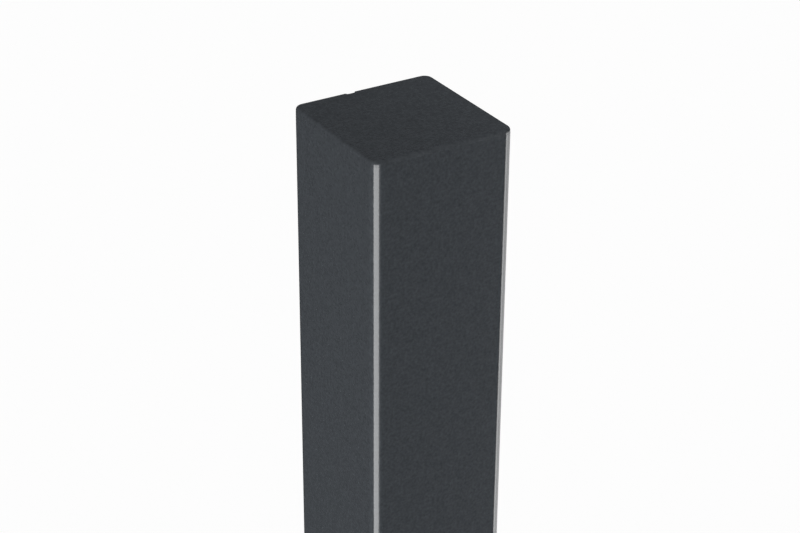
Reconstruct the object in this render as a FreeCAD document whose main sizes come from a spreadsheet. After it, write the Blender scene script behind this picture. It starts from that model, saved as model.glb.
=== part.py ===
import FreeCAD, Part
import math
import os
import Sketcher

# Square steel fence post: a roll-formed tube with rounded corners, closed at the top by a
# moulded cap. The cap's head lies flush on the tube's sawn end, and its hollow plug is pushed
# into the tube, where barbed fins grip the walls. The foot is sawn square and open.
# Millimetres, +Z up, origin in the middle of the foot.

# name, value, meaning
DIMENSIONS = (
    ("tube_width", 60.0, "outside width of the square tube"),
    ("wall", 2.0, "sheet thickness of the tube"),
    ("bend_radius", 1.8, "inside radius of the tube's rolled corners"),
    ("tube_length", 1500.0, "sawn length of the tube"),
    ("foot_deburr", 0.3, "edge break round the sawn foot, inside and out"),
    ("head_thickness", 2.0, "thickness of the cap's head"),
    ("head_edge_radius", 1.3, "rounding of the head's upper edge"),
    ("head_setback", 0.05, "the head's sides lie this far inside the tube's faces"),
    ("plug_wall", 2.0, "wall of the cap's hollow plug"),
    ("plug_inside_radius", 1.0, "inside radius of the plug's corners"),
    ("plug_lead_length", 3.0, "height of the sloping lead at the plug's lower end"),
    ("plug_lead_inset", 0.8, "how far the lead slopes inwards"),
    ("fin_count", 4, "number of fins, one below another"),
    ("fin_first", 2.5, "from the head's underside to the first fin"),
    ("fin_pitch", 4.5, "from one fin to the next"),
    ("fin_reach", 1.6, "how far a fin stands out from the plug"),
    ("fin_height", 1.8, "height of a fin at its root"),
    ("fin_tip_height", 0.5, "height of a fin at its tip"),
    ("fin_clearance", 0.05, "from a fin's tip to the tube's inner face"),
    ("notch_width", 4.4, "width of the lifting notch in the head's rear edge"),
    ("notch_depth", 1.85, "depth of the lifting notch"),
    ("notch_flare", 0.5, "how far each side of the notch slopes outwards"),
    ("notch_offset", -5.2, "the notch's middle, along X from the middle of the edge"),
)

# Sizes that follow from the driving ones, as expressions on the sheet
TUBE_BORE = "(Dims.tube_width - 2 * Dims.wall)"
TUBE_CORNER = "(Dims.bend_radius + Dims.wall)"
HEAD_WIDTH = "(Dims.tube_width - 2 * Dims.head_setback)"
HEAD_CORNER = f"({TUBE_CORNER} - Dims.head_setback)"
PLUG_WIDTH = f"({TUBE_BORE} - 2 * Dims.fin_clearance - 2 * Dims.fin_reach)"
PLUG_CORNER = "(Dims.plug_inside_radius + Dims.plug_wall)"
PLUG_HOLLOW = f"({PLUG_WIDTH} - 2 * Dims.plug_wall)"
PLUG_DEPTH = "(Dims.fin_first + Dims.fin_count * Dims.fin_pitch + Dims.plug_lead_length)"
FIN_ROOT = f"({PLUG_WIDTH} / 2 - Dims.plug_wall / 2)"
FIN_TIP = f"({PLUG_WIDTH} / 2 + Dims.fin_reach)"

# A rounding or slope leaves some of the wall that it is cut from
HEAD_EDGE = "min(Dims.head_edge_radius; 0.9 * Dims.head_thickness)"
PLUG_LEAD = "min(Dims.plug_lead_inset; 0.75 * Dims.plug_wall)"

# Point numbers in a sketch, and the sketch's own origin and axes
START, END, CENTRE = 1, 2, 3
SKETCH_ORIGIN = (-1, 1)

EDGE_TOLERANCE = 1e-4


def make_sheet(doc):
    sheet = doc.addObject("Spreadsheet::Sheet", "Dims")
    for row, (name, value, meaning) in enumerate(DIMENSIONS, start=1):
        sheet.set(f"A{row}", name)
        sheet.set(f"B{row}", str(value))
        sheet.set(f"C{row}", meaning)
        sheet.setAlias(f"B{row}", name)
    doc.recompute()
    return sheet


def new_body(doc, label):
    body = doc.addObject("PartDesign::Body", label)
    body.Label = label
    return body


def new_sketch(body, name, role):
    sketch = body.newObject("Sketcher::SketchObject", name)
    plane = next(item for item in body.Origin.OriginFeatures if item.Role == role)
    sketch.AttachmentSupport = [(plane, "")]
    sketch.MapMode = "FlatFace"
    return sketch


def size(sketch, kind, name, expression, *points):
    # A named dimension, bound to the sheet
    value = sketch.evalExpression(expression)
    index = sketch.addConstraint(Sketcher.Constraint(kind, *points, value))
    sketch.renameConstraint(index, name)
    sketch.setExpression(f"Constraints.{name}", expression)


def rounded_square(sketch, name, width, corner):
    # A square with round corners about the sketch's origin, drawn anticlockwise from its lower side
    half = sketch.evalExpression(width) / 2
    radius = sketch.evalExpression(corner)
    inner = half - radius
    sides = []
    arcs = []
    for quarter in range(4):
        turn = FreeCAD.Rotation(FreeCAD.Vector(0, 0, 1), 90 * quarter)
        first = turn.multVec(FreeCAD.Vector(-inner, -half, 0))
        last = turn.multVec(FreeCAD.Vector(inner, -half, 0))
        middle = turn.multVec(FreeCAD.Vector(inner, -inner, 0))
        circle = Part.Circle(middle, FreeCAD.Vector(0, 0, 1), radius)
        begin = math.radians(90 * quarter - 90)
        sides.append(sketch.addGeometry(Part.LineSegment(first, last)))
        arcs.append(sketch.addGeometry(Part.ArcOfCircle(circle, begin, begin + math.pi / 2)))
    for quarter in range(4):
        following = (quarter + 1) % 4
        sketch.addConstraint(Sketcher.Constraint("Tangent", sides[quarter], END, arcs[quarter], START))
        sketch.addConstraint(Sketcher.Constraint("Tangent", arcs[quarter], END, sides[following], START))
        direction = "Vertical" if quarter % 2 else "Horizontal"
        sketch.addConstraint(Sketcher.Constraint(direction, sides[quarter]))
    for arc in arcs[1:]:
        sketch.addConstraint(Sketcher.Constraint("Equal", arcs[0], arc))
    lower, right, upper, left = sides
    opposite = (arcs[0], CENTRE, arcs[2], CENTRE)
    sketch.addConstraint(Sketcher.Constraint("Symmetric", *opposite, *SKETCH_ORIGIN))
    size(sketch, "DistanceX", f"{name}_width", width, left, START, right, START)
    size(sketch, "DistanceY", f"{name}_depth", width, lower, START, upper, START)
    size(sketch, "Radius", f"{name}_corner", corner, arcs[0])


def closed_outline(sketch, points):
    # Straight lines from point to point and back to the first
    lines = []
    for first, last in zip(points, points[1:] + points[:1]):
        lines.append(sketch.addGeometry(Part.LineSegment(first, last)))
    for line, following in zip(lines, lines[1:] + lines[:1]):
        sketch.addConstraint(Sketcher.Constraint("Coincident", line, END, following, START))
    return lines


def edges_where(shape, test):
    return [f"Edge{number}" for number, edge in enumerate(shape.Edges, start=1) if test(edge)]


def lies_at_height(height):
    def test(edge):
        box = edge.BoundBox
        return abs(box.ZMin - height) < EDGE_TOLERANCE and abs(box.ZMax - height) < EDGE_TOLERANCE
    return test


def make_tube(doc):
    body = new_body(doc, "post_tube")

    section = new_sketch(body, "tube_section", "XY_Plane")
    rounded_square(section, "outside", "Dims.tube_width", TUBE_CORNER)
    rounded_square(section, "inside", TUBE_BORE, "Dims.bend_radius")
    tube = body.newObject("PartDesign::Pad", "tube_length")
    tube.Profile = section
    tube.setExpression("Length", "Dims.tube_length")
    doc.recompute()

    deburr = body.newObject("PartDesign::Chamfer", "foot_deburr")
    deburr.Base = (tube, edges_where(tube.Shape, lies_at_height(0)))
    deburr.setExpression("Size", "Dims.foot_deburr")
    doc.recompute()
    return body


def add_head(doc, body):
    # A flat plate the size of the tube, its upper edge rounded
    outline = new_sketch(body, "head_outline", "XY_Plane")
    rounded_square(outline, "head", HEAD_WIDTH, HEAD_CORNER)
    plate = body.newObject("PartDesign::Pad", "head_plate")
    plate.Profile = outline
    plate.setExpression("Length", "Dims.head_thickness")
    doc.recompute()

    rounding = body.newObject("PartDesign::Fillet", "head_edge")
    top = plate.Shape.BoundBox.ZMax
    rounding.Base = (plate, edges_where(plate.Shape, lies_at_height(top)))
    rounding.setExpression("Radius", HEAD_EDGE)
    doc.recompute()


def add_plug(doc, body):
    # The plug's solid core, with a sloping lead that finds its way into the tube
    outline = new_sketch(body, "plug_outline", "XY_Plane")
    rounded_square(outline, "plug", PLUG_WIDTH, PLUG_CORNER)
    core = body.newObject("PartDesign::Pad", "plug_core")
    core.Profile = outline
    core.Reversed = True
    core.setExpression("Length", PLUG_DEPTH)
    doc.recompute()

    lead = body.newObject("PartDesign::Chamfer", "plug_lead")
    bottom = core.Shape.BoundBox.ZMin
    lead.Base = (core, edges_where(core.Shape, lies_at_height(bottom)))
    lead.ChamferType = "Two distances"
    lead.setExpression("Size", "Dims.plug_lead_length")
    lead.setExpression("Size2", PLUG_LEAD)
    doc.recompute()
    return outline


def add_fins(doc, body, path):
    # A barb, flat above and sloping below, runs round the plug and repeats downwards
    barb = new_sketch(body, "fin_section", "XZ_Plane")
    root = barb.evalExpression(FIN_ROOT)
    tip = barb.evalExpression(FIN_TIP)
    upper = -barb.evalExpression("Dims.fin_first")
    tip_lower = upper - barb.evalExpression("Dims.fin_tip_height")
    root_lower = upper - barb.evalExpression("Dims.fin_height")
    corners = [
        FreeCAD.Vector(root, root_lower, 0),
        FreeCAD.Vector(tip, tip_lower, 0),
        FreeCAD.Vector(tip, upper, 0),
        FreeCAD.Vector(root, upper, 0),
    ]
    slope, end_face, flat, root_line = closed_outline(barb, corners)
    barb.addConstraint(Sketcher.Constraint("Vertical", end_face))
    barb.addConstraint(Sketcher.Constraint("Horizontal", flat))
    barb.addConstraint(Sketcher.Constraint("Vertical", root_line))
    size(barb, "DistanceX", "root", FIN_ROOT, *SKETCH_ORIGIN, slope, START)
    size(barb, "DistanceX", "tip", FIN_TIP, *SKETCH_ORIGIN, slope, END)
    size(barb, "DistanceY", "first", "Dims.fin_first", flat, START, *SKETCH_ORIGIN)
    size(barb, "DistanceY", "tip_height", "Dims.fin_tip_height", end_face, START, end_face, END)
    size(barb, "DistanceY", "root_height", "Dims.fin_height", root_line, END, root_line, START)

    fin = body.newObject("PartDesign::AdditivePipe", "fin")
    fin.Profile = barb
    fin.Spine = (path, [f"Edge{number}" for number in range(1, path.GeometryCount + 1)])
    doc.recompute()

    fins = body.newObject("PartDesign::LinearPattern", "fins")
    fins.Originals = [fin]
    fins.Direction = (path, ["N_Axis"])
    fins.Reversed = True
    fins.Mode = "Spacing"
    fins.setExpression("Offset", "Dims.fin_pitch")
    fins.setExpression("Occurrences", "Dims.fin_count")
    body.Tip = fins
    doc.recompute()


def hollow_plug(doc, body):
    outline = new_sketch(body, "hollow_outline", "XY_Plane")
    rounded_square(outline, "hollow", PLUG_HOLLOW, "Dims.plug_inside_radius")
    hollow = body.newObject("PartDesign::Pocket", "plug_hollow")
    hollow.Profile = outline
    hollow.setExpression("Length", PLUG_DEPTH)
    doc.recompute()


def cut_notch(doc, body):
    # A notch with flared sides in the rear edge of the head, to lift the cap by
    outline = new_sketch(body, "notch_outline", "XY_Plane")
    edge = outline.evalExpression(f"{HEAD_WIDTH} / 2")
    floor = edge - outline.evalExpression("Dims.notch_depth")
    middle = outline.evalExpression("Dims.notch_offset")
    outer = outline.evalExpression("Dims.notch_width / 2")
    inner = outer - outline.evalExpression("Dims.notch_flare")
    corners = [
        FreeCAD.Vector(middle - inner, floor, 0),
        FreeCAD.Vector(middle + inner, floor, 0),
        FreeCAD.Vector(middle + outer, edge, 0),
        FreeCAD.Vector(middle - outer, edge, 0),
    ]
    notch_floor, right_side, mouth, left_side = closed_outline(outline, corners)
    outline.addConstraint(Sketcher.Constraint("Horizontal", notch_floor))
    outline.addConstraint(Sketcher.Constraint("Horizontal", mouth))
    size(outline, "DistanceY", "edge", f"{HEAD_WIDTH} / 2", *SKETCH_ORIGIN, mouth, START)
    size(outline, "DistanceY", "depth", "Dims.notch_depth", notch_floor, START, mouth, START)
    size(outline, "DistanceX", "left", "Dims.notch_offset - Dims.notch_width / 2", *SKETCH_ORIGIN, mouth, END)
    size(outline, "DistanceX", "mouth", "Dims.notch_width", mouth, END, mouth, START)
    size(outline, "DistanceX", "left_flare", "Dims.notch_flare", left_side, START, left_side, END)
    size(outline, "DistanceX", "right_flare", "Dims.notch_flare", right_side, START, right_side, END)
    notch = body.newObject("PartDesign::Pocket", "lifting_notch")
    notch.Profile = outline
    notch.Reversed = True
    notch.setExpression("Length", "Dims.head_thickness")
    doc.recompute()


def make_cap(doc):
    # Drawn with the head's underside at zero, then set on the tube's upper end
    body = new_body(doc, "top_cap")
    add_head(doc, body)
    path = add_plug(doc, body)
    add_fins(doc, body, path)
    hollow_plug(doc, body)
    cut_notch(doc, body)
    body.setExpression("Placement.Base.z", "Dims.tube_length")
    doc.recompute()
    return body


def check(doc, bodies):
    for item in doc.Objects:
        if "Invalid" in item.State or "Error" in item.State:
            raise RuntimeError(f"{item.Label} failed: {item.State}")
    for body in bodies:
        if body.Shape.isNull() or not body.Shape.isValid() or len(body.Shape.Solids) != 1:
            raise RuntimeError(f"{body.Label} is not one valid solid")


def main():
    doc = FreeCAD.newDocument("fence_post")
    make_sheet(doc)
    bodies = [make_tube(doc), make_cap(doc)]
    doc.recompute()
    check(doc, bodies)
    os.makedirs("parts", exist_ok=True)
    for body in bodies:
        body.Shape.exportStep(f"parts/{body.Label}.step")
        print(body.Label, round(body.Shape.Volume, 1), body.Shape.BoundBox)


main()
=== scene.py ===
import bmesh
import bpy
import math
from mathutils import Matrix, Vector


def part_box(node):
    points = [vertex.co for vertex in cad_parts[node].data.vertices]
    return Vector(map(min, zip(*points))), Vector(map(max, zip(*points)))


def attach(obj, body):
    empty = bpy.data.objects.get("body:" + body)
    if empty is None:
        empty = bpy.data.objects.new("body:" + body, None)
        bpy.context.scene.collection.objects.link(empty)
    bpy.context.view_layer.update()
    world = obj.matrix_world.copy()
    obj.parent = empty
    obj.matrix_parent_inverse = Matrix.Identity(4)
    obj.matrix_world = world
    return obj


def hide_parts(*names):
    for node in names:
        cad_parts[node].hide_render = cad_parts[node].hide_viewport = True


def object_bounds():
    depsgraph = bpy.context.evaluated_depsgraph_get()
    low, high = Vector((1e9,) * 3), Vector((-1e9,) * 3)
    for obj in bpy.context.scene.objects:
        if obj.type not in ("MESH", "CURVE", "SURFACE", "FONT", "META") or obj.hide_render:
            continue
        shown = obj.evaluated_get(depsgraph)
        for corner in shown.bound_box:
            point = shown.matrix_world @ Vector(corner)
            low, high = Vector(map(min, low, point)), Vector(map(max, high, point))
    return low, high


# Square fence post in anthracite powder coat, seen from above at its capped upper end.
# Metres throughout, in the same frame as the solids: foot on the floor, +Z up.

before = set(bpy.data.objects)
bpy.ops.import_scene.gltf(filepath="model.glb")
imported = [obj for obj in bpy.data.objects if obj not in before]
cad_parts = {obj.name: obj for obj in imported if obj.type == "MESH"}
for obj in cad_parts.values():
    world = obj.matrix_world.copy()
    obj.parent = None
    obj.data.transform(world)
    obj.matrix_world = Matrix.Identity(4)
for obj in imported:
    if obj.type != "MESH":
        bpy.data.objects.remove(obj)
cadLow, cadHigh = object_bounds()
print("frame loaded:", ", ".join(sorted(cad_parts)))


class Wire:
    # one output of a node; sums on wires add Math nodes to the same tree
    def __init__(self, graph, socket):
        self.graph = graph
        self.socket = socket

    def pick(self, name):                       # another output of the same node
        return Wire(self.graph, self.socket.node.outputs[name])

    def calc(self, operation, *values):
        return self.graph.add("ShaderNodeMath", {"operation": operation}, dict(enumerate(values)))

    def __add__(self, other):
        return self.calc("ADD", self, other)

    def __radd__(self, other):
        return self.calc("ADD", other, self)

    def __sub__(self, other):
        return self.calc("SUBTRACT", self, other)

    def __rsub__(self, other):
        return self.calc("SUBTRACT", other, self)

    def __mul__(self, other):
        return self.calc("MULTIPLY", self, other)

    def __rmul__(self, other):
        return self.calc("MULTIPLY", other, self)

    def __truediv__(self, other):
        return self.calc("DIVIDE", self, other)

    def __rtruediv__(self, other):
        return self.calc("DIVIDE", other, self)

    def __lt__(self, other):
        return self.calc("LESS_THAN", self, other)

    def __gt__(self, other):
        return self.calc("GREATER_THAN", self, other)

    def __abs__(self):
        return self.calc("ABSOLUTE", self)


class Graph:
    # a node tree; add() makes any node: its type, its settings, then its sockets' values or wires
    def __init__(self, tree):
        self.tree = tree

    def add(self, kind, settings=None, sockets=None, out=0):
        node = self.tree.nodes.new(kind)
        for name, value in (settings or {}).items():
            if name == "stops":
                self.setStops(node.color_ramp, value)
            else:
                setattr(node, name, value)
        for key, value in (sockets or {}).items():
            if isinstance(value, Wire):
                self.tree.links.new(value.socket, node.inputs[key])
            else:
                node.inputs[key].default_value = value
        return Wire(self, node.outputs[out]) if len(node.outputs) else node

    def setStops(self, ramp, stops):
        while len(ramp.elements) < len(stops):
            ramp.elements.new(1.0)
        for element, (place, level) in zip(ramp.elements, stops):
            element.position = place
            element.color = (level, level, level, 1.0)


def newMaterial(name):
    material = bpy.data.materials.new(name)
    material.use_nodes = True
    material.node_tree.nodes.clear()
    return material, Graph(material.node_tree)


def noise(graph, place, size, detail=2.0, roughness=0.5):
    # smooth noise whose lumps are about size across
    sockets = {"Vector": place, "Scale": 1.0 / size, "Detail": detail, "Roughness": roughness}
    return graph.add("ShaderNodeTexNoise", None, sockets, out="Fac")


def tint(graph, colour, gain):
    # a colour made lighter or darker by a value
    sockets = {0: colour[:3], "Scale": gain}
    return graph.add("ShaderNodeVectorMath", {"operation": "SCALE"}, sockets, out="Vector")


def clamped(graph, value):
    # a value kept between 0 and 1
    return graph.add("ShaderNodeClamp", None, {"Value": value, "Min": 0.0, "Max": 1.0})


def blendColours(graph, mask, first, second):
    # a Mix node takes its two colours at sockets 6 and 7 and gives one at 2
    sockets = {"Factor": mask, 6: first, 7: second}
    return graph.add("ShaderNodeMix", {"data_type": "RGBA"}, sockets, out=2)


# Satin powder coat: tiny pimples from the powder, a slow orange peel and a faint mottle
coatFinish = {
    "colour": (0.0413, 0.0460, 0.0515, 1.0),
    "roughness": 0.12,
    "roughnessSwing": 0.05,
    "mottleSize": 0.0012,
    "mottleSwing": 0.44,
    "speckSize": 0.0006,
    "speckSwing": 0.28,
    "cloudSize": 0.0034,
    "cloudSwing": 0.26,
    "pimpleSize": 0.0005,
    "pimpleHeight": 0.0000025,
    "peelSize": 0.0030,
    "peelHeight": 0.000004,
}


def coatLayers(graph, place, finish):
    # colour, roughness and normal of a grained coat
    mottle = noise(graph, place, finish["mottleSize"], detail=0.0) - 0.5
    speck = noise(graph, place, finish["speckSize"], detail=0.0) - 0.5
    cloud = noise(graph, place, finish["cloudSize"], detail=1.0) - 0.5
    gain = 1.0 + mottle * finish["mottleSwing"] + speck * finish["speckSwing"]
    gain = gain + cloud * finish["cloudSwing"]
    colour = tint(graph, finish["colour"], gain)
    roughness = finish["roughness"] + mottle * finish["roughnessSwing"]
    pimples = noise(graph, place, finish["pimpleSize"], detail=1.0)
    peel = noise(graph, place, finish["peelSize"], detail=1.0)
    height = pimples * finish["pimpleHeight"] + peel * finish["peelHeight"]
    normal = graph.add("ShaderNodeBump", None, {"Strength": 1.0, "Distance": 1.0, "Height": height})
    return colour, roughness, normal


def makeGrained(name, finish):
    material, graph = newMaterial(name)
    place = graph.add("ShaderNodeTexCoord", None, None, out="Object")
    colour, roughness, normal = coatLayers(graph, place, finish)
    sockets = {"Base Color": colour, "Roughness": roughness, "Normal": normal}
    surface = graph.add("ShaderNodeBsdfPrincipled", None, sockets)
    graph.add("ShaderNodeOutputMaterial", None, {"Surface": surface})
    return material


# Moulded cap: the same grey in plastic, with a duller skin and no orange peel
capFinish = {
    **coatFinish,
    "roughness": 0.175,
    "mottleSwing": 0.46,
    "cloudSwing": 0.24,
    "peelHeight": 0.0,
}


# Inside of the tube: bare zinc with spangle, a weld line, and coat that drifted in at the foot
zincFinish = {
    "colour": (0.42, 0.43, 0.44, 1.0),
    "spangleSize": 0.007,
    "spangleSwing": 0.5,
    "roughness": 0.38,
    "roughnessSwing": 0.25,
    "grainSize": 0.0008,
    "grainHeight": 0.000012,
    "weldOffset": 0.011,
    "weldWidth": 0.0012,
    "weldShade": 0.5,
    "driftReach": 0.045,
    "driftSoftness": 0.03,
    "driftLump": 0.012,
    "driftSwing": 0.06,
}


def makeZinc():
    material, graph = newMaterial("bareZinc")
    place = graph.add("ShaderNodeTexCoord", None, None, out="Object")
    axes = graph.add("ShaderNodeSeparateXYZ", None, {0: place})
    cells = graph.add("ShaderNodeTexVoronoi", None,
                      {"Vector": place, "Scale": 1.0 / zincFinish["spangleSize"]}, out="Color")
    spangle = graph.add("ShaderNodeSeparateColor", None, {0: cells})

    # weld down the inside of the -X wall, trimmed flat and left as a darker line
    across = abs(axes.pick("Y") - zincFinish["weldOffset"]) / zincFinish["weldWidth"]
    weld = clamped(graph, 1.0 - across) * (axes.pick("X") < 0.0)
    metalGain = 1.0 + (spangle - 0.5) * zincFinish["spangleSwing"] - weld * zincFinish["weldShade"]
    zincColour = tint(graph, zincFinish["colour"], metalGain)

    # coat lies inside the mouth and breaks up further in
    lumps = noise(graph, place, zincFinish["driftLump"]) - 0.5
    edge = zincFinish["driftReach"] + lumps * zincFinish["driftSwing"]
    depth = (edge - axes.pick("Z")) / zincFinish["driftSoftness"]
    drift = clamped(graph, depth)
    colour = blendColours(graph, drift, zincColour, coatFinish["colour"])
    roughness = zincFinish["roughness"] + (spangle - 0.5) * zincFinish["roughnessSwing"]

    height = noise(graph, place, zincFinish["grainSize"]) * zincFinish["grainHeight"]
    normal = graph.add("ShaderNodeBump", None, {"Strength": 1.0, "Distance": 1.0, "Height": height})
    metallic = 1.0 - drift
    sockets = {"Base Color": colour, "Metallic": metallic, "Roughness": roughness, "Normal": normal}
    surface = graph.add("ShaderNodeBsdfPrincipled", None, sockets)
    graph.add("ShaderNodeOutputMaterial", None, {"Surface": surface})
    return material


powderCoat = makeGrained("powderCoat", coatFinish)
capPlastic = makeGrained("capPlastic", capFinish)
bareZinc = makeZinc()
print("materials made")


sweepInputs = (                                 # name, socket type
    ("Side", "NodeSocketFloat"),
    ("Corner", "NodeSocketFloat"),
    ("Corner Steps", "NodeSocketInt"),
    ("Point A", "NodeSocketVector"),
    ("Point B", "NodeSocketVector"),
    ("Point C", "NodeSocketVector"),
    ("Point D", "NodeSocketVector"),
    ("Lower Edge", "NodeSocketFloat"),
    ("Upper Edge", "NodeSocketFloat"),
    ("Edge Steps", "NodeSocketInt"),
    ("Count", "NodeSocketInt"),
    ("Pitch", "NodeSocketFloat"),
    ("Skin", "NodeSocketMaterial"),
    ("Lining", "NodeSocketMaterial"),
)


def makeSweepTree():
    # a four-sided section swept round a square with round corners, and repeated downwards
    tree = bpy.data.node_groups.new("sweptRing", "GeometryNodeTree")
    for name, kind in sweepInputs:
        tree.interface.new_socket(name, in_out="INPUT", socket_type=kind)
    tree.interface.new_socket("Mesh", in_out="OUTPUT", socket_type="NodeSocketGeometry")
    graph = Graph(tree)
    given = graph.add("NodeGroupInput")

    square = graph.add("GeometryNodeCurvePrimitiveQuadrilateral", {"mode": "RECTANGLE"},
                       {"Width": given.pick("Side"), "Height": given.pick("Side")})
    path = graph.add("GeometryNodeFilletCurve", {"mode": "POLY"},
                     {"Curve": square, "Radius": given.pick("Corner"), "Count": given.pick("Corner Steps")})
    path = graph.add("GeometryNodeSetCurveNormal", {"mode": "Z_UP"}, {"Curve": path})

    corners = {}
    for number, letter in enumerate("ABCD", 1):
        corners[f"Point {number}"] = given.pick(f"Point {letter}")
    section = graph.add("GeometryNodeCurvePrimitiveQuadrilateral", {"mode": "POINTS"}, corners)
    isUpper = graph.add("GeometryNodeInputIndex") > 1.5     # C and D are the upper corners
    edges = {"Switch": isUpper, "False": given.pick("Lower Edge"), "True": given.pick("Upper Edge")}
    edge = graph.add("GeometryNodeSwitch", {"input_type": "FLOAT"}, edges)
    section = graph.add("GeometryNodeFilletCurve", {"mode": "POLY"},
                        {"Curve": section, "Count": given.pick("Edge Steps"), "Radius": edge})
    # along the path a section's Y points down, so it is turned over
    section = graph.add("GeometryNodeTransform", None,
                        {"Geometry": section, "Rotation": (math.pi, 0.0, 0.0)})
    ring = graph.add("GeometryNodeCurveToMesh", None, {"Curve": path, "Profile Curve": section})
    ring = graph.add("GeometryNodeSetShadeSmooth", {"domain": "FACE"},
                     {"Geometry": ring, "Shade Smooth": True})

    drop = graph.add("ShaderNodeCombineXYZ", None, {"Z": 0.0 - given.pick("Pitch")})
    line = graph.add("GeometryNodeMeshLine", {"mode": "OFFSET"},
                     {"Count": given.pick("Count"), "Offset": drop})
    rings = graph.add("GeometryNodeInstanceOnPoints", None, {"Points": line, "Instance": ring})
    rings = graph.add("GeometryNodeRealizeInstances", None, {"Geometry": rings})

    # faces that look at the post's axis are the lining
    place = graph.add("GeometryNodeInputPosition")
    outwards = graph.add("ShaderNodeVectorMath", {"operation": "MULTIPLY"},
                         {0: place, 1: (1.0, 1.0, 0.0)})
    facing = graph.add("ShaderNodeVectorMath", {"operation": "DOT_PRODUCT"},
                       {0: outwards, 1: graph.add("GeometryNodeInputNormal")}, out="Value")
    rings = graph.add("GeometryNodeSetMaterial", None,
                      {"Geometry": rings, "Material": given.pick("Skin")})
    rings = graph.add("GeometryNodeSetMaterial", None,
                      {"Geometry": rings, "Selection": facing < 0.0, "Material": given.pick("Lining")})
    graph.add("NodeGroupOutput", None, {"Mesh": rings})
    return tree


def sweepMesh(tree, name, values):
    # the tree's result as a plain mesh, with its sizes set before it is first worked out
    scratch = bpy.data.objects.new(name + "Scratch", bpy.data.meshes.new(name + "Scratch"))
    bpy.context.scene.collection.objects.link(scratch)
    modifier = scratch.modifiers.new("sweep", "NODES")
    modifier.node_group = tree
    given = [item for item in tree.interface.items_tree if item.in_out == "INPUT"]
    for item in given:
        modifier[item.identifier] = values[item.name]
    return bakeModifiers(scratch, name)


def bakeModifiers(scratch, name):
    bpy.context.view_layer.update()
    mesh = bpy.data.meshes.new_from_object(scratch.evaluated_get(bpy.context.evaluated_depsgraph_get()))
    mesh.name = name
    bpy.data.objects.remove(scratch)
    return mesh


def finishPiece(mesh, name):
    # flat faces stay flat beside their round edges
    scratch = bpy.data.objects.new(name + "Scratch", mesh)
    bpy.context.scene.collection.objects.link(scratch)
    weighted = scratch.modifiers.new("flatFaces", "WEIGHTED_NORMAL")
    weighted.mode = "FACE_AREA"
    weighted.keep_sharp = True
    piece = bpy.data.objects.new(name, bakeModifiers(scratch, name))
    bpy.context.scene.collection.objects.link(piece)
    return piece


# Tube: wall swept round the square, with broken edges at the sawn ends
tubeLow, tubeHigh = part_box("post_tube")
tube = {
    "side": tubeHigh.x - tubeLow.x,
    "wall": 0.0020,
    "corner": 0.0038,
    "cornerSteps": 20,
    "footEdge": 0.0003,
    "topEdge": 0.00005,
    "edgeSteps": 4,
}


def makeTube(tree):
    values = {
        "Side": tube["side"],
        "Corner": tube["corner"],
        "Corner Steps": tube["cornerSteps"],
        "Point A": (0.0, tubeLow.z, 0.0),
        "Point B": (-tube["wall"], tubeLow.z, 0.0),
        "Point C": (-tube["wall"], tubeHigh.z, 0.0),
        "Point D": (0.0, tubeHigh.z, 0.0),
        "Lower Edge": tube["footEdge"],
        "Upper Edge": tube["topEdge"],
        "Edge Steps": tube["edgeSteps"],
        "Count": 1,
        "Pitch": 0.0,
        "Skin": powderCoat,
        "Lining": bareZinc,
    }
    return finishPiece(sweepMesh(tree, "postTube", values), "postTube")


# Cap: head with a rounded edge, hollow plug with fins inside the tube
capLow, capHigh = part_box("top_cap")
cap = {
    "headHalf": capHigh.x,
    "headCorner": 0.00375,
    "edgeRadius": 0.0013,
    "edgeSteps": 8,
    "cornerSteps": 20,
    "plugHalf": 0.02635,
    "plugCorner": 0.0030,
    "plugWall": 0.0020,
    "plugInsideCorner": 0.0010,
    "leadLength": 0.0030,
    "leadInset": 0.0008,
    "notchMiddle": -0.0052,
    "notchWidth": 0.0044,
    "notchFlare": 0.0005,
    "notchDepth": 0.00185,
    "finCount": 4,
    "finFirst": 0.0025,
    "finPitch": 0.0045,
    "finReach": 0.0016,
    "finHeight": 0.0018,
    "finTipHeight": 0.0005,
    "finEdge": 0.0001,
    "finEdgeSteps": 2,
    "sharpAngle": 35.0,                         # degrees; the shading breaks at edges that turn more
}


def capRing(half, corner, z, notched=False):
    # points round a square with round corners, anticlockwise, with the notch in the +Y side
    outer = cap["notchWidth"] / 2
    inner = outer - cap["notchFlare"]
    floor = cap["headHalf"] - cap["notchDepth"]
    points = []
    for quarter in range(4):
        turn = Matrix.Rotation(math.pi / 2 * quarter, 3, "Z")
        for step in range(cap["cornerSteps"] + 1):
            angle = math.pi / 2 * step / cap["cornerSteps"]
            x = half - corner + corner * math.cos(angle)
            y = half - corner + corner * math.sin(angle)
            points.append(turn @ Vector((x, y, 0.0)))
        if quarter == 0:
            for offset in (outer, inner, -inner, -outer):
                inNotch = notched and abs(offset) == inner
                y = min(half, floor) if inNotch else half
                points.append(Vector((cap["notchMiddle"] + offset, y, 0.0)))
    return [point + Vector((0.0, 0.0, z)) for point in points]


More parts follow.
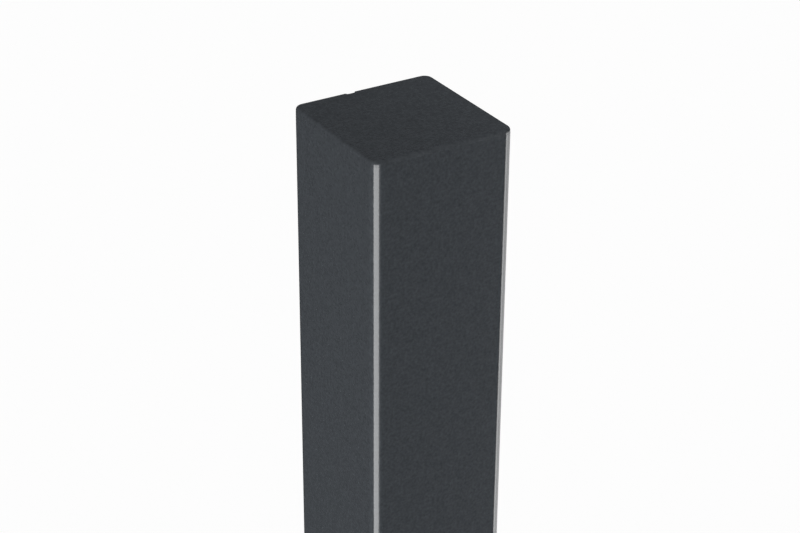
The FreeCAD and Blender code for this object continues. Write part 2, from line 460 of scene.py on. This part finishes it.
def makeCap(tree):
    seat = tubeHigh.z
    top = capHigh.z
    radius = cap["edgeRadius"]
    rings = []
    for step in range(cap["edgeSteps"] + 1):
        angle = math.pi / 2 * step / cap["edgeSteps"]
        inset = radius * (1.0 - math.sin(angle))
        drop = radius * (1.0 - math.cos(angle))
        half = cap["headHalf"] - inset
        rings.append(capRing(half, cap["headCorner"] - inset, top - drop, notched=True))
    rings.append(capRing(cap["headHalf"], cap["headCorner"], seat, notched=True))
    rings.append(capRing(cap["plugHalf"], cap["plugCorner"], seat))
    rings.append(capRing(cap["plugHalf"], cap["plugCorner"], capLow.z + cap["leadLength"]))
    inset = cap["leadInset"]
    rings.append(capRing(cap["plugHalf"] - inset, cap["plugCorner"] - inset, capLow.z))
    hollowHalf = cap["plugHalf"] - cap["plugWall"]
    rings.append(capRing(hollowHalf, cap["plugInsideCorner"], capLow.z))
    rings.append(capRing(hollowHalf, cap["plugInsideCorner"], seat))

    shell = bmesh.new()
    loops = [[shell.verts.new(point) for point in ring] for ring in rings]
    for upper, lower in zip(loops, loops[1:]):
        for number in range(len(upper)):
            following = (number + 1) % len(upper)
            shell.faces.new((upper[number], lower[number], lower[following], upper[following]))
    shell.faces.new(loops[0])
    shell.faces.new(reversed(loops[-1]))
    bmesh.ops.recalc_face_normals(shell, faces=shell.faces)
    for face in shell.faces:
        face.smooth = True
    shell.from_mesh(finMesh(tree))
    sharpAngle = math.radians(cap["sharpAngle"])
    for edge in shell.edges:
        edge.smooth = len(edge.link_faces) == 2 and edge.calc_face_angle() < sharpAngle
    mesh = bpy.data.meshes.new("topCap")
    shell.to_mesh(mesh)
    shell.free()
    mesh.materials.clear()
    mesh.materials.append(capPlastic)
    return finishPiece(mesh, "topCap")


def finMesh(tree):
    # barbs, flat above and sloping below, rooted in the middle of the plug's wall
    root = -cap["plugWall"] / 2
    upper = tubeHigh.z - cap["finFirst"]
    values = {
        "Side": cap["plugHalf"] * 2,
        "Corner": cap["plugCorner"],
        "Corner Steps": cap["cornerSteps"],
        "Point A": (cap["finReach"], upper - cap["finTipHeight"], 0.0),
        "Point B": (root, upper - cap["finHeight"], 0.0),
        "Point C": (root, upper, 0.0),
        "Point D": (cap["finReach"], upper, 0.0),
        "Lower Edge": cap["finEdge"],
        "Upper Edge": cap["finEdge"],
        "Edge Steps": cap["finEdgeSteps"],
        "Count": cap["finCount"],
        "Pitch": cap["finPitch"],
        "Skin": capPlastic,
        "Lining": capPlastic,
    }
    return sweepMesh(tree, "capFins", values)


sweepTree = makeSweepTree()
postTube = makeTube(sweepTree)
print("tube made:", len(postTube.data.polygons), "faces")
topCap = makeCap(sweepTree)
print("cap made:", len(topCap.data.polygons), "faces")

for piece, node, slot in ((postTube, "post_tube", "coated_steel"), (topCap, "top_cap", "cap_plastic")):
    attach(piece, "root")
    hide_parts(node)


# Camera: where the photograph was taken from, measured from the middle of the cap's top
cameraView = {
    "azimuth": -31.577,
    "elevation": 24.008,
    "distance": 0.7592,
    "yaw": -0.029,
    "pitch": 4.203,
    "roll": -0.374,
    "lens": 91.985,
    "sensor": 36.0,
}


def placeCamera():
    azimuth = math.radians(cameraView["azimuth"])
    elevation = math.radians(cameraView["elevation"])
    level = math.cos(elevation)
    back = Vector((math.sin(azimuth) * level, -math.cos(azimuth) * level, math.sin(elevation)))
    right = Vector((math.cos(azimuth), math.sin(azimuth), 0.0))
    axes = Matrix((right, back.cross(right), back))
    for key, axis in (("yaw", "Y"), ("pitch", "X"), ("roll", "Z")):
        axes = Matrix.Rotation(math.radians(cameraView[key]), 3, axis) @ axes
    target = Vector((0.0, 0.0, cadHigh.z))
    data = bpy.data.cameras.new("camera")
    data.sensor_width = cameraView["sensor"]
    data.lens = cameraView["lens"]
    camera = bpy.data.objects.new("camera", data)
    bpy.context.scene.collection.objects.link(camera)
    stand = Matrix.Translation(target + back * cameraView["distance"])
    camera.matrix_world = stand @ axes.transposed().to_4x4()
    bpy.context.scene.camera = camera


placeCamera()
print("camera placed")


# Studio: pale floor, even room light, and panels given by their bearing from the camera's side
studio = {
    "floorSize": 40.0,
    "floorColour": (0.80, 0.80, 0.80, 1.0),
    "floorGlow": 0.331,
    "roomLight": 0.50,
    "paleLevel": 0.985,
    "paleTop": 0.10,                            # as the sine of an angle above the horizon
    "ceilingLevel": 0.03,
    "ceilingFoot": 0.24,
    "overhead": 1.14,
    "overheadAngle": 25.0,
    "overheadBearing": -13.4,
    "overheadTilt": 30.0,
}

# Lamps: panels that shade the post; bearing and width in degrees, the rest in metres
lamps = {
    "keyLamp": {"bearing": -34.0, "width": 50.0, "distance": 1.60, "low": 0.12, "high": 1.30,
                "glow": 5.4},
    "sideLamp": {"bearing": 121.6, "width": 40.0, "distance": 0.12, "low": 1.53, "high": 1.56,
                 "glow": 8.5},
}

# Cards: pale panels and dark shades that only show in gloss
paleCard = {"distance": 0.95, "low": 0.02, "high": 1.40, "footFade": 0.65, "topFade": 0.30}
darkCard = {"distance": 0.80, "low": 0.02, "high": 1.75, "footFade": 0.40, "topFade": 0.001, "glow": 0.02}
cards = {
    "frontCard": {**paleCard, "bearing": -13.0, "width": 55.5, "glow": 7.0},
    "rightCard": {**paleCard, "bearing": 83.75, "width": 23.5, "glow": 5.2},
    "rearCard": {**paleCard, "bearing": 111.75, "width": 32.5, "glow": 2.5},
    "rimCard": {"bearing": 62.0, "width": 40.0, "distance": 0.60, "low": 1.40, "high": 2.60,
                "footFade": 0.001, "topFade": 0.001, "glow": 0.16},
    "rightShade": {**darkCard, "bearing": 50.75, "width": 42.5},
    "leftShade": {**darkCard, "bearing": -56.5, "width": 31.0},
    "farLeftShade": {**darkCard, "bearing": -131.0, "width": 118.0},
    "rearShade": {**darkCard, "bearing": 140.0, "width": 90.0, "distance": 0.85, "low": 1.20, "high": 1.80,
                  "footFade": 0.15},
}


def rayShown(graph):
    # 1 for rays that show the background: seen directly, in gloss or through glass
    rays = graph.add("ShaderNodeLightPath", None, None, out="Is Camera Ray")
    shown = rays.calc("MAXIMUM", rays, rays.pick("Is Glossy Ray"))
    return rays.calc("MAXIMUM", shown, rays.pick("Is Transmission Ray"))


def addFloor():
    material, graph = newMaterial("paleFloor")
    lit = graph.add("ShaderNodeBsdfDiffuse", None, {"Color": studio["floorColour"]})
    glow = graph.add("ShaderNodeEmission", None, {"Strength": rayShown(graph) * studio["floorGlow"]})
    surface = graph.add("ShaderNodeAddShader", None, {0: lit, 1: glow})
    graph.add("ShaderNodeOutputMaterial", None, {"Surface": surface})
    half = studio["floorSize"] / 2
    corners = [(-half, -half, 0.0), (half, -half, 0.0), (half, half, 0.0), (-half, half, 0.0)]
    addStage("floor", corners, material)


def addStage(name, corners, material):
    mesh = bpy.data.meshes.new(name)
    mesh.from_pydata(corners, [], [(0, 1, 2, 3)])
    mesh.materials.append(material)
    sheet = bpy.data.objects.new(name, mesh)
    bpy.context.scene.collection.objects.link(sheet)
    return sheet


def addRoom():
    world = bpy.data.worlds.new("room")
    bpy.context.scene.world = world
    world.use_nodes = True
    world.node_tree.nodes.clear()
    graph = Graph(world.node_tree)
    direction = graph.add("ShaderNodeTexCoord", None, None, out="Generated")
    height = graph.add("ShaderNodeSeparateXYZ", None, {0: direction}, out="Z")
    stops = ((studio["paleTop"], studio["paleLevel"]), (studio["ceilingFoot"], studio["ceilingLevel"]))
    backdrop = graph.add("ShaderNodeValToRGB", {"stops": stops}, {"Fac": height})
    shown = rayShown(graph)
    room = (studio["roomLight"],) * 3 + (1.0,)
    colour = blendColours(graph, shown, room, backdrop)
    background = graph.add("ShaderNodeBackground", None, {"Color": colour})
    graph.add("ShaderNodeOutputWorld", None, {"Surface": background})


def bearingFrame(setup):
    # middle, direction towards the post and half width of an upright panel
    bearing = math.radians(cameraView["azimuth"] + setup["bearing"])
    outwards = Vector((math.sin(bearing), -math.cos(bearing), 0.0))
    middle = outwards * setup["distance"]
    middle.z = (setup["low"] + setup["high"]) / 2
    halfWidth = setup["distance"] * math.tan(math.radians(setup["width"] / 2))
    return middle, -outwards, halfWidth


def gatherLit():
    # the lamps light the post alone, so that the floor stays even
    lit = bpy.data.collections.new("litPieces")
    for piece in (postTube, topCap):
        lit.objects.link(piece)
    return lit


def addLamp(name, setup, lit):
    middle, aim, halfWidth = bearingFrame(setup)
    data = bpy.data.lights.new(name, "AREA")
    data.shape = "RECTANGLE"
    data.size = halfWidth * 2
    data.size_y = setup["high"] - setup["low"]
    data.energy = setup["glow"] * math.pi * data.size * data.size_y
    lamp = bpy.data.objects.new(name, data)
    bpy.context.scene.collection.objects.link(lamp)
    lamp.matrix_world = Matrix.Translation(middle) @ aim.to_track_quat("-Z", "Y").to_matrix().to_4x4()
    lamp.visible_camera = False
    lamp.visible_glossy = False
    lamp.light_linking.receiver_collection = lit


def addCard(name, setup):
    material, graph = newMaterial(name)
    # a card fades into the floor at its foot, and into the dark at its top
    place = graph.add("ShaderNodeTexCoord", None, None, out="Object")
    height = graph.add("ShaderNodeSeparateXYZ", None, {0: place}, out="Z")
    rise = clamped(graph, (height - setup["low"]) / setup["footFade"])
    fall = clamped(graph, (setup["high"] - height) / setup["topFade"])
    level = rise * (setup["glow"] - studio["paleLevel"]) + studio["paleLevel"]
    glow = graph.add("ShaderNodeEmission", None, {"Color": level * fall})
    graph.add("ShaderNodeOutputMaterial", None, {"Surface": glow})
    material.cycles.emission_sampling = "NONE"  # found by gloss rays alone, so it adds no grain
    middle, aim, halfWidth = bearingFrame(setup)
    side = aim.cross(Vector((0.0, 0.0, 1.0))) * halfWidth
    corners = []
    for spot, end in ((-side, "low"), (side, "low"), (side, "high"), (-side, "high")):
        corners.append((middle.x + spot.x, middle.y + spot.y, setup[end]))
    card = addStage(name, corners, material)
    card.visible_camera = False
    card.visible_diffuse = False
    card.visible_shadow = False


def addOverhead():
    data = bpy.data.lights.new("overhead", "SUN")
    data.energy = studio["overhead"]
    data.angle = math.radians(studio["overheadAngle"])
    lamp = bpy.data.objects.new("overhead", data)
    bpy.context.scene.collection.objects.link(lamp)
    turn = Matrix.Rotation(math.radians(cameraView["azimuth"] + studio["overheadBearing"]), 4, "Z")
    lamp.matrix_world = turn @ Matrix.Rotation(math.radians(studio["overheadTilt"]), 4, "X")
    lamp.visible_glossy = False


addFloor()
addRoom()
addOverhead()
litPieces = gatherLit()
for name, setup in lamps.items():
    addLamp(name, setup, litPieces)
for name, setup in cards.items():
    addCard(name, setup)
bpy.context.scene.view_settings.view_transform = "Standard"
print("studio lit")
